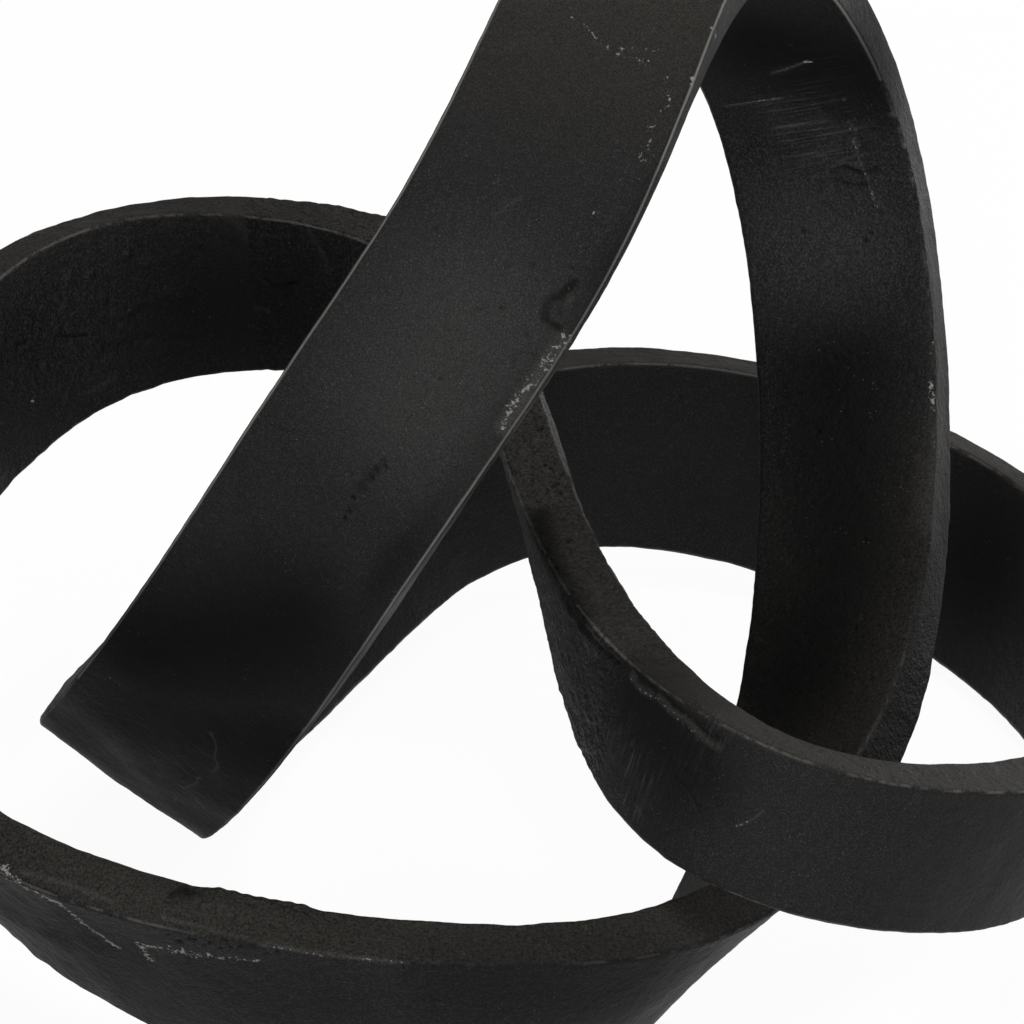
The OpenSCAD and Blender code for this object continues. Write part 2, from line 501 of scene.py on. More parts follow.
def strap_marks():
    """Arch and leaning strap."""
    crescent = [(9, -70.5, 126.5), (7, -71, 125), (5, -71, 123.5), (4.5, -71, 122), (5, -71.5, 120.5),
                (6.5, -72, 120)]
    crescent_bowl = [(7.5, -71.5, 122.5)]
    crescent_lip = [(8.5, -71.5, 124.5), (8, -71.5, 122)]
    round_dent = [(1.5, -72, 116), (3, -72.5, 115.5), (3.5, -72.5, 114), (2.5, -73, 113), (1, -72.5, 112.5),
                  (0, -72, 113.5), (0, -72, 115), (1.5, -72, 116)]
    loose_pits = [(2, -72, 118.5), (-2, -70, 122.5), (2.5, -70, 124), (-1.5, -69, 128.5), (3, -69, 129),
                  (8.5, -70, 129), (-15, -69, 117), (-12, -66, 134), (-5.5, -70, 122), (-11, -69, 111)]
    scar = [(-20.5, -70, 96.5), (-22.5, -69, 94), (-24, -69, 91.5)]
    scar_pits = [(-20, -70, 96), (-21, -70, 95), (-22.5, -69, 93), (-23.5, -69, 91.5), (-24.5, -68, 90),
                 (-22, -69, 94), (-20.5, -70, 97), (-25.5, -68, 88), (-26, -68, 86.5)]
    dents = (
        groove(crescent, wide=1.0, deep=0.8)
        + groove(crescent_bowl, wide=2.4, deep=0.4)
        # painted highlight on the lit side of the crescent dent
        + lightened(crescent_lip, wide=1.3, wear_and_sheen=0.35)
        + groove(round_dent, wide=0.55, deep=0.22)
        + pits(loose_pits, wide=0.42, deep=0.45)
        + groove(scar, wide=1.1, deep=0.35)
        + pits(scar_pits, wide=0.6, deep=0.7))

    # crumbs of coat gone along a line that wanders down from the arch
    trail_top = [(8.5, -48, 164), (8.5, -50, 162.5), (10.5, -51, 161.5), (12, -52, 160.5), (13, -53, 160)]
    trail_bend = [(13, -53, 160), (15, -54, 158.5), (16.5, -54.5, 158), (20.5, -55, 157)]
    trail_down = [(23, -56.5, 155.5), (23.5, -57.5, 154), (24, -59.5, 152), (21, -60.5, 150)]
    trail_low = [(21, -60.5, 150), (20.5, -63.5, 146), (19, -64.5, 144)]
    trail_end = [(20.5, -63.5, 146), (19.5, -64, 145)]
    trail_branch = [(16.5, -53.5, 158.5), (19.5, -53, 159), (22.5, -53.5, 158)]
    loose_crumbs = [(0, -45, 166), (2, -48, 164.5), (5, -46, 165.5)]
    edge_chip_low = [(27.5, -56.5, 155), (27, -57, 154)]
    edge_chip_high = [(30.5, -50, 160.5), (31, -47, 158)]
    small_chip = [(12, -67.5, 137), (13, -67.5, 137)]
    faint_chips = [(-12, -70, 108), (-16, -70, 103), (-18, -70, 98)]
    gone_coat = (
        chips(trail_top, wide=0.8, bare=0.53)
        + chips(trail_bend, wide=1.2, bare=0.47)
        + chips(trail_down, wide=1.3, bare=0.44)
        + chips(trail_low, wide=1.6, bare=0.42)
        + chips(trail_end, wide=1.0, bare=0.6)
        + chips(trail_branch, wide=1.2, bare=0.44)
        + chips(loose_crumbs, wide=1.6, bare=0.3)
        + chips(edge_chip_low, wide=0.9, bare=0.75)
        + chips(edge_chip_high, wide=1.1, bare=0.7)
        + chips(small_chip, wide=0.5, bare=0.5)
        + chips(faint_chips, wide=1.0, bare=0.32))

    # a pale scuff on the right corner, and lines worn lighter
    scuff = [(8, -72.5, 118.5), (5, -73, 115), (3, -73, 112), (1, -73, 110), (-0.5, -73, 107.5)]
    scuff_core = [(3.5, -73, 112.5), (1, -73, 110), (-0.5, -73, 107.5), (-2, -73.5, 104)]
    scuff_haze = [(7.5, -72.5, 118), (3.5, -73, 112.5), (-2, -73.5, 104)]
    short_line = [(-3, -66, 136.5), (1, -65.5, 139)]
    bowed_line = [(-17.5, -68.5, 115.5), (-16.5, -68, 119), (-14, -68, 122.5), (-11, -68, 124.5)]
    heel_line = [(-49, -53.5, 42), (-47.5, -53, 39.5), (-48.5, -52, 37), (-47.5, -51, 36), (-48.5, -50, 34)]
    low_dent = [(-35.5, -61, 46), (-33, -63, 47.5)]
    heel_chip = [(-66, -46, 50), (-63.5, -47, 47.5)]
    arch_stroke = [(42, 8, 132), (45, 7.5, 133.5), (48, 6.5, 135)]
    stroke_tip = [(47.5, 6.5, 135), (48.5, 6.5, 135)]
    worn_places = (
        chips(scuff, wide=2.3, bare=0.56)
        + chips(scuff_core, wide=1.3, bare=0.62)
        + lightened(scuff_haze, wide=2.6, wear_and_sheen=0.8)
        + lightened(short_line, wide=0.28, wear_and_sheen=0.45)
        + lightened(bowed_line, wide=0.25, wear_and_sheen=0.4)
        + lightened(heel_line, wide=0.28, wear_and_sheen=0.7)
        + groove(low_dent, wide=0.5, deep=0.35)
        + chips(heel_chip, wide=0.5, bare=0.45)
        + lightened(arch_stroke, wide=0.45, wear_and_sheen=0.8)
        + chips(stroke_tip, wide=0.5, bare=0.8))
    return dents + gone_coat + worn_places


def riser_marks():
    """Riser: a flash line down its inner face, with worn beads on it, hollows beside it and pits."""
    flash_top = [(55, 9, 123.5), (55.5, 9, 122), (56, 9.5, 120), (56.5, 9.5, 118), (57, 9.5, 116)]
    flash_beads = [(55, 9, 123.5), (55.5, 9, 122), (56, 9.5, 120.5), (56.5, 9.5, 119), (57, 9.5, 117.5),
                   (57, 9.5, 116), (58, 9, 113.5), (58.5, 9, 112), (59, 8.5, 110.5), (59.5, 8.5, 109)]
    flash_low = [(57, 9.5, 116), (58, 9, 113.5), (58.5, 9, 112), (59.5, 8.5, 109)]
    flash_crumbs = [(55, 9, 123.5), (56.5, 9.5, 118), (58, 9, 113.5), (59.5, 8.5, 109)]
    hollow_top = [(52, 10.5, 114), (54.5, 10, 115), (57, 9.5, 114), (59.5, 9, 115)]
    hollow_low = [(53, 10, 112.5), (55.5, 10, 112), (58.5, 9, 112.5)]
    hollow_brow = [(52.5, 10.5, 115), (54.5, 10, 116.5), (57, 9.5, 115.5)]
    edge_beads = [(61, 6.5, 129), (62, 7.5, 125.5), (63, 8, 122.5), (64, 8, 119.5), (65, 7, 114)]
    sand_pits = [(51, 2, 86), (52.5, 1, 85), (55, 1, 86), (56.5, -0.5, 85), (58, 0, 87), (49.5, 3.5, 87),
                 (47, 7, 93), (45, 10, 98.5), (58.5, 7.5, 104.5), (58, 7.5, 103.5), (50, 6, 95), (54, 5, 97),
                 (61, 3, 97), (47, 9, 104), (52, 10, 108), (56, -3, 80), (60, -4, 82), (50, -5, 74),
                 (57, -8, 72), (49, -20, 58), (54, -24, 53), (58, -18, 60), (47, -27, 48), (50, -32, 44),
                 (56, -29, 49)]
    edge_chip_low = [(68.5, -6, 83), (69, -8.5, 80)]
    edge_chip_high = [(68.5, 0, 91), (68.5, -3, 87)]
    return (
        bead(flash_top, wide=0.45, high=0.12, paler=0.5)
        + lumps(flash_beads, wide=0.55, high=0.35, paler=1.0)
        + bead(flash_low, wide=0.5, high=0.12, paler=0.35)
        + chips(flash_crumbs, wide=0.8, bare=0.46)
        + groove(hollow_top, wide=0.7, deep=0.35)
        + groove(hollow_low, wide=0.6, deep=0.3)
        + lightened(hollow_brow, wide=0.8, wear_and_sheen=0.4)
        + lumps(edge_beads, wide=0.9, high=0.45, paler=0.6)
        + pits(sand_pits, wide=0.6, deep=0.45)
        + chips(edge_chip_low, wide=1.3, bare=0.6)
        + chips(edge_chip_high, wide=0.9, bare=0.5))


def low_run_marks():
    """Low front run: a step in its upper edge, a pitted band, a ringed bead and gone coat."""
    dip = [(-54.5, -98, 37.8), (-52, -98.3, 37.4), (-50.8, -98.6, 37)]
    long_swell = [(-45.5, -99.6, 36.8), (-40, -100.7, 36.2), (-33, -101.8, 35.4)]
    knob = [(-48.5, -99, 37), (-47.5, -99.5, 37)]
    band_pits = [(-53, -104, 32), (-50, -104.5, 32), (-48, -105, 31), (-47, -105, 31.5), (-44.5, -106, 32),
                 (-42, -106.5, 31), (-40, -106.5, 31.5), (-51.5, -104, 31), (-45, -105.5, 30.5),
                 (-49, -105, 31.5), (-38, -107, 30.5), (-54, -103.5, 32.5), (-43.5, -106, 31),
                 (-36, -107, 30.5)]
    band_lump = [(-43, -106.5, 32)]
    ring = [(-18, -107, 29), (-16.5, -107, 30), (-15.5, -107, 29), (-16.5, -107, 28), (-18, -107, 29)]
    ringed_bead = [(-16.5, -107.5, 29)]
    crumbs_left = [(-54.5, -101.5, 28.5), (-52.5, -102.5, 28.5), (-49, -103, 28), (-47, -104, 28.5)]
    crumbs_right = [(-47, -104, 28.5), (-44, -104.5, 28.5), (-42, -105, 28.5), (-39, -106, 28)]
    ridge_crumbs = [(-37.5, -107, 31.5), (-31, -107.5, 30.5), (-25.5, -107.5, 30), (-17, -107.5, 29)]
    ridge = [(-56, -103.5, 35), (-37.5, -107, 31.5), (-25.5, -107.5, 30), (-17, -107.5, 29)]
    return (
        groove(dip, wide=2.6, deep=0.6)
        + bead(long_swell, wide=3.6, high=0.8)
        + bead(knob, wide=1.1, high=0.6)
        + pits(band_pits, wide=0.55, deep=0.5)
        + lumps(band_lump, wide=0.9, high=0.3)
        + groove(ring, wide=0.6, deep=0.3)
        + lumps(ringed_bead, wide=0.9, high=0.45, paler=0.3)
        + chips(crumbs_left, wide=2.5, bare=0.54)
        + chips(crumbs_right, wide=1.5, bare=0.5)
        + chips(ridge_crumbs, wide=0.55, bare=0.45)
        + lightened(ridge, wide=0.6, wear_and_sheen=0.5))


def crossover_marks():
    """Crossover: ridge and hollows behind the strap, a weld lip in front, and a pitted narrow side."""
    ridge = [(-35, 49, 90), (-33, 47.5, 86), (-31.5, 47, 82)]
    ridge_hollow = [(-34, 48.5, 90), (-32, 47.5, 86), (-30.5, 47, 82)]
    crack = [(-41, 51.5, 77.5), (-39.5, 51, 78), (-37.5, 50.5, 78.5)]
    crack_bead = [(-45, 52.5, 73), (-43.5, 52.5, 73.5), (-42, 52, 73)]
    lip_hollow = [(10, -61, 65), (12.5, -66, 64.5), (16.5, -73, 64)]
    lip_beads = [(11, -61, 64), (12, -64, 63.5), (13.5, -67, 63), (15, -70, 63)]
    broad_hollow = [(-27, 46, 82), (-29, 47, 77)]
    side_pits = [(6, -30, 76), (4, -36, 75), (8, -44, 74), (5, -24, 78), (8, -52, 71), (4, -15, 79),
                 (9, -57, 70), (3, -38, 73), (5, -45, 71), (7, -50, 69), (8, -55, 67), (4, -41, 72),
                 (6, -48, 70), (9, -58, 66)]
    return (
        lightened(ridge, wide=0.9, wear_and_sheen=0.2)
        + groove(ridge_hollow, wide=1.1, deep=0.3)
        + groove(crack, wide=0.6, deep=0.6)
        + bead(crack_bead, wide=0.7, high=0.3, paler=0.2)
        + groove(lip_hollow, wide=0.9, deep=0.45)
        + lumps(lip_beads, wide=0.9, high=0.35, paler=0.3)
        + groove(broad_hollow, wide=1.4, deep=0.3)
        + pits(side_pits, wide=0.8, deep=0.5))


def left_loop_marks():
    """Left loop: cracks, folds and lumps of a rough casting, and gone coat on its front corner."""
    crack = [(-78, 40.5, 73), (-76, 42.5, 72), (-73.5, 44, 71.5)]
    crack_left = [(-84, 33.5, 74), (-83, 35.5, 73.5)]
    weld_spatter = [(-56, 53.5, 86), (-53.5, 53.5, 87), (-52, 53.5, 86.5), (-57, 53, 83.5), (-54, 53, 84.5)]
    fold_top = [(-78, 41, 74), (-76.5, 42.5, 75.5), (-75, 44, 75)]
    fold_low = [(-73, 42.5, 61.5), (-71, 44, 61.5), (-68.5, 46.5, 63)]
    broad_fold = [(-66, 48, 74), (-60, 51, 76.5), (-56, 52, 75)]
    broad_hollow = [(-70, 46, 68), (-62, 50, 69)]
    rough_lumps = [(-79, 38, 78), (-81, 36, 77), (-77, 41, 79), (-83, 33, 70), (-80, 37, 69), (-75, 43, 82),
                   (-72, 46, 81), (-85, 30, 68), (-66, 50, 84), (-63, 51, 82), (-88, 28, 72), (-86, 30, 77),
                   (-90, 24, 66), (-76, 42, 77), (-70, 47, 77), (-82, 34, 64), (-87, 27, 62)]
    bare_spot = [(-82, 33, 63.5)]
    trail_left = [(-79, -92.5, 37.5), (-76.5, -95, 36), (-73, -96.5, 35), (-70, -97.5, 34)]
    trail_down = [(-70, -97.5, 34), (-68, -97, 31.5), (-66, -96.5, 29), (-64, -97, 28), (-62.5, -97, 26.5),
                  (-60.5, -97.5, 26)]
    ridge = [(-76, -94, 38), (-68.5, -97, 37), (-62.5, -100, 36)]
    low_line = [(-68.5, -91.5, 24.5), (-64.5, -93, 22.5)]
    return (
        groove(crack, wide=0.6, deep=0.5)
        + groove(crack_left, wide=0.8, deep=0.5)
        + lumps(weld_spatter, wide=1.0, high=0.4)
        + bead(fold_top, wide=0.8, high=0.3)
        + bead(fold_low, wide=0.9, high=0.25, paler=0.15)
        + bead(broad_fold, wide=1.6, high=0.35)
        + groove(broad_hollow, wide=1.6, deep=0.35)
        + lumps(rough_lumps, wide=1.5, high=0.6)
        + chips(bare_spot, wide=0.6, bare=1.0)
        + chips(trail_left, wide=1.8, bare=0.62)
        + chips(trail_down, wide=1.2, bare=0.64)
        + lightened(ridge, wide=0.7, wear_and_sheen=0.5)
        + lightened(low_line, wide=0.3, wear_and_sheen=0.4))


def front_run_marks():
    """Front run: the cracked lip that the grinder left beside the weld, and small scratches."""
    lip_hollow = [(22, -80.5, 62.5), (24, -83, 62), (25, -84, 61), (28, -87, 59.5), (31, -89, 58)]
    lip = [(22, -81, 62), (24.5, -84, 60.5), (27, -86, 59.8), (29, -88.2, 58), (31.5, -89.6, 57.4)]
    lip_cracks = [(23, -82, 62.8), (24.2, -83.6, 61.6), (26.5, -85.8, 60.6), (27.6, -87, 60.4),
                  (29.6, -88.4, 59), (31, -89.4, 58.6)]
    lip_crumbs = [(22, -81, 61.5), (25.5, -85, 60), (29, -88, 58)]
    fold = [(25, -87, 50.5), (27, -89, 49.5), (29, -90.5, 46.5)]
    bright_scratch = [(34.5, -93.5, 45.5), (37, -94, 47), (38.5, -94, 48.5)]
    hooked_line = [(42, -87, 57), (43, -87.5, 57), (43, -88, 56)]
    high_crumbs = [(44, -93, 56.5), (46.5, -94, 53)]
    low_crumbs = [(40.5, -95, 39), (42.5, -95, 38.5), (45, -95, 38.5)]
    return (
        groove(lip_hollow, wide=0.7, deep=0.4)
        + bead(lip, wide=1.0, high=0.4, paler=0.4)
        + pits(lip_cracks, wide=0.5, deep=0.5)
        + chips(lip_crumbs, wide=1.5, bare=0.42)
        + groove(fold, wide=0.5, deep=0.25)
        + lightened(bright_scratch, wide=0.32, wear_and_sheen=0.5)
        + chips(bright_scratch, wide=0.5, bare=0.45)
        + lightened(hooked_line, wide=0.3, wear_and_sheen=0.5)
        + chips(high_crumbs, wide=0.6, bare=0.33)
        + chips(low_crumbs, wide=1.2, bare=0.33))


def heel_marks():
    """Heel: the two short ends of a forked scratch, and a rubbed spot."""
    fork_left = [(-55.5, -39, 24.5), (-55, -38, 23.5), (-55.5, -37, 22.5)]
    fork_right = [(-52, -43, 26), (-51.5, -42.5, 25), (-50.5, -42, 24)]
    spot = [(-57.5, -41, 28.5)]
    return (
        lightened(fork_left, wide=0.3, wear_and_sheen=0.7)
        + lightened(fork_right, wide=0.3, wear_and_sheen=0.65)
        + lightened(spot, wide=0.9, wear_and_sheen=0.5))


def weld_heel_marks():
    """Weld above the heel: the middle of the forked scratch."""
    scratch_middle = [(-48.5, -50, 34), (-51, -47.5, 31.5), (-52, -46, 29), (-54.5, -42, 26.5)]
    return lightened(scratch_middle, wide=0.28, wear_and_sheen=0.75)


def weld_front_marks():
    """Weld on the front run: the start of the ground lip."""
    lip_hollow = [(18, -75.5, 64), (19.5, -78, 63.5), (21.5, -80.5, 62.5)]
    lip = [(18, -76.5, 63), (19.5, -78.5, 61.8), (21.2, -80.5, 61.8)]
    lip_crumbs = [(18, -76.5, 62.5), (21, -80.5, 61.5)]
    return (
        groove(lip_hollow, wide=0.7, deep=0.4)
        + bead(lip, wide=1.0, high=0.4, paler=0.4)
        + chips(lip_crumbs, wide=1.2, bare=0.42))


def weld_left_front_marks():
    """Weld on the low front run: gone coat between the two trails, and a faint line."""
    crumbs_down = [(-58, -100, 28.5), (-57, -99.5, 26.5), (-56.5, -99, 25)]
    crumbs_right = [(-58, -100, 28.5), (-56, -101, 28), (-54, -101.5, 28.5)]
    low_line = [(-59.5, -93.5, 18.5), (-56, -94, 17)]
    return (
        chips(crumbs_down, wide=1.9, bare=0.58)
        + chips(crumbs_right, wide=2.1, bare=0.54)
        + lightened(low_line, wide=0.3, wear_and_sheen=0.4))


def weld_left_back_marks():
    """Weld at the back of the left loop: a slanted lighter ridge and spatter."""
    ridge = [(-49, 53.5, 90), (-46.5, 52.5, 88), (-45, 52, 86)]
    spatter = [(-50, 53, 86.5), (-48, 53, 86)]
    return (
        lightened(ridge, wide=1.4, wear_and_sheen=0.2)
        + lumps(spatter, wide=0.9, high=0.35))


def weld_arch_marks():
    """Weld under the arch: two bright strokes of the grinder and a bead at the edge."""
    long_stroke = [(34.5, 13.5, 125), (39, 12, 126), (43.5, 10.5, 127)]
    stroke_core = [(39, 12, 126), (41, 11.5, 126.5), (43.5, 10.5, 127)]
    short_stroke = [(40, 9, 132.5), (42, 8, 133)]
    edge_bead = [(54, 8, 127.5)]
    return (
        scratch(stroke_core, wide=0.4, bare=0.6)
        + lightened(long_stroke, wide=0.6, wear_and_sheen=1.0)
        + lightened(short_stroke, wide=0.4, wear_and_sheen=0.6)
        + lumps(edge_bead, wide=0.7, high=0.3, paler=0.9))


MARKS = {
    "arch_strap": strap_marks(),
    "fold_riser": riser_marks() + low_run_marks(),
    "crossover": crossover_marks(),
    "left_loop": left_loop_marks(),
    "front_run": front_run_marks(),
    "heel_run": heel_marks(),
    "weld_heel": weld_heel_marks(),
    "weld_front": weld_front_marks(),
    "weld_left_front": weld_left_front_marks(),
    "weld_left_back": weld_left_back_marks(),
    "weld_arch": weld_arch_marks(),
}

# Broad patches that run over every piece near them: path, half width and amount. They paint shade onto the
# coat, make it lighter, mostly as painted sheen, or brush it as the disc does
# Painted shade: the coat made darker where the knot shades itself
PAINTED_SHADE_PATCHES = [
    # band above the heel, foot of the strap, and round the heel
    ([(-58, -53, 56), (-36, -64, 66)], 22, 1.0),
    ([(-62, -46, 40), (-38, -58, 42)], 18, 0.9),
    ([(-72, -31, 28), (-60, -30, 18), (-50, -36, 16)], 15, 1.0),
    ([(-60, -42, 28), (-46, -50, 30)], 15, 0.7),
    # riser's inner face, and under the arch
    ([(54, -2, 81), (54, -12, 68), (54, -22, 56), (47, -32, 42)], 25, 1.0),
    ([(40, 5, 138), (58, 6, 133)], 17, 0.95),
    # back of the left loop, and far side of the ring
    ([(-54, 53, 74), (-42, 52, 75)], 26, 0.8),
    ([(83, 60, 22)], 28, 0.95),
    # front run beside the weld
    ([(27, -88, 54), (20, -79, 60)], 15, 0.8),
    # low front run twice, its upper edge, and the left loop's front corner
    ([(17, -97, 21), (-10, -106, 24)], 18, 0.6),
    ([(-50, -101, 22), (-28, -105, 21)], 20, 0.45),
    ([(-80, -84, 40), (-52, -97, 38), (-20, -103, 33)], 6, 0.3),
    ([(-84, -80, 32), (-62, -95, 20)], 20, 0.6),
    # left edge of the crossover
    ([(4, -36, 73), (5.5, -46, 70.5), (8, -54, 68), (11, -62, 66)], 3.6, 1.0),
    # right narrow side of the strap
    ([(22, -63, 140), (14.5, -68, 128), (8, -70.5, 116), (-1, -71, 104), (-18, -69, 80), (-31, -63, 58)],
     5, 1.0),
]
LIGHTER_PATCHES = [
    # painted sheen on the middle of the strap and on the riser; lighter also on the riser's right narrow
    # side and under the arch
    ([(-14, -70, 107), (-7, -70, 119)], 25, 0.42),
    ([(50, 9, 101)], 20, 0.38),
    ([(68, 10.8, 108), (70, 5.5, 93.5), (70.3, -4.7, 80), (68.7, -19, 64.5)], 5, 0.4),
    ([(45.5, 11, 123), (51, 10.5, 118.5)], 7, 0.22),
]
DISC_BRUSHED = [
    # under the arch
    ([(46, 10, 126), (52, 10, 120)], 10, 4.5),
    ([(42, 8, 134), (50, 7, 132)], 9, 2.0),
    # front run
    ([(29, -88.5, 54), (29, -88, 56)], 9, 2.5),
    ([(17, -77, 51), (20, -80, 46)], 10, 3.2),
    # foot of the strap, and heel
    ([(-56, -47, 34), (-44, -55, 38)], 9, 0.9),
    ([(-60, -40, 28), (-50, -41, 22)], 13, 0.5),
]


# Making the twelve pieces

cast = {}
for node in POURED + WELDS:
    piece = cage(node)
    modifier(piece, "SUBSURF", levels=SMOOTHING, render_levels=SMOOTHING)
    hold_joints(piece)
    skin(piece, *SKINS.get(node, WELD_SKIN))
    if node in WELDS:
        modifier(piece, "DISPLACE", strength=-PRESSED_BACK * MM, mid_level=0, vertex_group="proud")
    if node in MARKS:
        sculpt(piece, MARKS[node])
    cast[node] = piece

for piece in cast.values():
    stand_flat(piece)
    for name in ("bare", "wear_and_sheen", "painted_shade"):
        paint(piece, name, np.zeros(len(piece.data.vertices)))
    co = places_of(piece) / MM
    for name, patches in (("painted_shade", PAINTED_SHADE_PATCHES), ("wear_and_sheen", LIGHTER_PATCHES), ("ground", DISC_BRUSHED)):
        for path, wide, much in patches:
            paint(piece, name, much * dome(off_line(co, path), wide))
    take(piece)
    bpy.ops.object.shade_smooth_by_angle(angle=SMOOTH_BELOW)


# Finishes

class Wire:
    """One socket of a node tree; sums and products on it add Math nodes."""

    def __init__(self, tree, socket):
        self.tree, self.socket = tree, socket

    def math(self, operation, *others):
        return node_of(self.tree, "ShaderNodeMath", {"operation": operation}, (self, *others))

    def __add__(self, other):
        return self.math("ADD", other)

    def __radd__(self, other):
        return self.math("ADD", other)

    def __mul__(self, other):
        return self.math("MULTIPLY", other)

    def __rmul__(self, other):
        return self.math("MULTIPLY", other)

    def __sub__(self, other):
        return self.math("SUBTRACT", other)

    def __rsub__(self, other):
        return (self * -1) + other

    def least(self, other):
        return self.math("MINIMUM", other)

    def most(self, other):
        return self.math("MAXIMUM", other)

    def ramp(self, low, high, start=0.0, end=1.0):
        """Goes smoothly from start to end while this value goes from low to high."""
        return node_of(self.tree, "ShaderNodeMapRange", {"interpolation_type": "SMOOTHSTEP"},
                       (self, low, high, start, end))


def node_of(tree, kind, settings=(), inputs=(), output=0):
    """Adds a node; inputs are values or wires, by position or by name."""
    n = tree.nodes.new(kind)
    for name, value in dict(settings).items():
        setattr(n, name, value)
    pairs = inputs.items() if isinstance(inputs, dict) else enumerate(inputs)
    for key, value in pairs:
        if isinstance(value, Wire):
            tree.links.new(value.socket, n.inputs[key])
        else:
            n.inputs[key].default_value = value
    return Wire(tree, n.outputs[output]) if len(n.outputs) else None


def blend_colours(tree, amount, a, b):
    """Mixes from colour a to colour b."""
    return node_of(tree, "ShaderNodeMix", {"data_type": "RGBA"}, {0: amount, 6: a, 7: b}, output=2)


def blank_tree(owner):
    """Turns nodes on for a material or the world, and empties its tree."""
    owner.use_nodes = True
    owner.node_tree.nodes.clear()
    return owner.node_tree


# Tones of the coat, of what lies on it, of painted shade and sheen, and of the metal under it
DEEP_BLACK = (0.0035, 0.0035, 0.0036, 1.0)
COAT_BLACK = (0.007, 0.0069, 0.0069, 1.0)
GRIT_TOPS = (0.021, 0.0208, 0.0206, 1.0)
BRUSHED_GREY = (0.035, 0.035, 0.036, 1.0)
PAINTED_SHADE_BLACK = (0.001, 0.001, 0.001, 1.0)
DUST_BROWN = (0.036, 0.0305, 0.0235, 1.0)
WEAR_AND_SHEEN_GREY = (0.045, 0.044, 0.042, 1.0)
EDGE_WEAR_AND_HIGHLIGHT = (0.13, 0.126, 0.116, 1.0)
GLINT_METAL = (0.12, 0.11, 0.09, 1.0)
BARE_METAL = (0.17, 0.167, 0.158, 1.0)

# Depth of the finest relief in metres, and strokes of the disc, much finer across than along them
RELIEF_DEPTH = 0.0006
STROKES_ACROSS, STROKES_ALONG = 1500.0, 90.0


